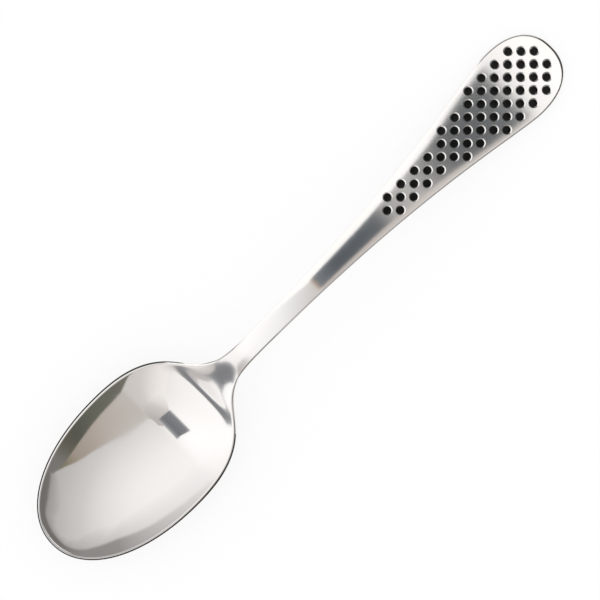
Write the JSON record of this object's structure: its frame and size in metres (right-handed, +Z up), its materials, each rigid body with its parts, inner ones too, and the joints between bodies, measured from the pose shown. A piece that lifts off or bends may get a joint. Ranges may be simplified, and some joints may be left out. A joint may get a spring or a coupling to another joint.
{
  "type": "tablespoon",
  "caption": "Steel tablespoon with an oval bowl, slim arched neck and a flared round-ended handle whose top holds a staggered field of small round black inlays.",
  "frame": {"origin": "on the table, under the middle of the spoon's length and width", "axes": "+X along the spoon from the bowl to the end of the handle, +Y across it, +Z up out of the bowl"},
  "size_m": [0.2, 0.0422, 0.0165],
  "materials": {
    "satin_steel": "polished stainless steel with a soft satin sheen",
    "black_inlay": "black enamel filled into round recesses"
  },
  "bodies": {
    "root": {"spoon_body": "satin_steel", "grip_dot_centre_01": "black_inlay", "grip_dot_centre_02": "black_inlay", "grip_dot_centre_03": "black_inlay", "grip_dot_centre_04": "black_inlay", "grip_dot_centre_05": "black_inlay", "grip_dot_centre_06": "black_inlay", "grip_dot_centre_07": "black_inlay", "grip_dot_centre_08": "black_inlay", "grip_dot_centre_09": "black_inlay", "grip_dot_centre_10": "black_inlay", "grip_dot_centre_11": "black_inlay", "grip_dot_centre_12": "black_inlay", "grip_dot_inner_left_01": "black_inlay", "grip_dot_inner_left_02": "black_inlay", "grip_dot_inner_left_03": "black_inlay", "grip_dot_inner_left_04": "black_inlay", "grip_dot_inner_left_05": "black_inlay", "grip_dot_inner_left_06": "black_inlay", "grip_dot_inner_left_07": "black_inlay", "grip_dot_inner_left_08": "black_inlay", "grip_dot_inner_left_09": "black_inlay", "grip_dot_inner_left_10": "black_inlay", "grip_dot_inner_left_11": "black_inlay", "grip_dot_inner_left_12": "black_inlay", "grip_dot_inner_right_01": "black_inlay", "grip_dot_inner_right_02": "black_inlay", "grip_dot_inner_right_03": "black_inlay", "grip_dot_inner_right_04": "black_inlay", "grip_dot_inner_right_05": "black_inlay", "grip_dot_inner_right_06": "black_inlay", "grip_dot_inner_right_07": "black_inlay", "grip_dot_inner_right_08": "black_inlay", "grip_dot_inner_right_09": "black_inlay", "grip_dot_inner_right_10": "black_inlay", "grip_dot_inner_right_11": "black_inlay", "grip_dot_inner_right_12": "black_inlay", "grip_dot_middle_left_01": "black_inlay", "grip_dot_middle_left_02": "black_inlay", "grip_dot_middle_left_03": "black_inlay", "grip_dot_middle_left_04": "black_inlay", "grip_dot_middle_left_05": "black_inlay", "grip_dot_middle_left_06": "black_inlay", "grip_dot_middle_left_07": "black_inlay", "grip_dot_middle_right_01": "black_inlay", "grip_dot_middle_right_02": "black_inlay", "grip_dot_middle_right_03": "black_inlay", "grip_dot_middle_right_04": "black_inlay", "grip_dot_middle_right_05": "black_inlay", "grip_dot_middle_right_06": "black_inlay", "grip_dot_middle_right_07": "black_inlay", "grip_dot_outer_left_01": "black_inlay", "grip_dot_outer_left_02": "black_inlay", "grip_dot_outer_left_03": "black_inlay", "grip_dot_outer_left_04": "black_inlay", "grip_dot_outer_right_01": "black_inlay", "grip_dot_outer_right_02": "black_inlay", "grip_dot_outer_right_03": "black_inlay", "grip_dot_outer_right_04": "black_inlay"}
  },
  "joints": []
}
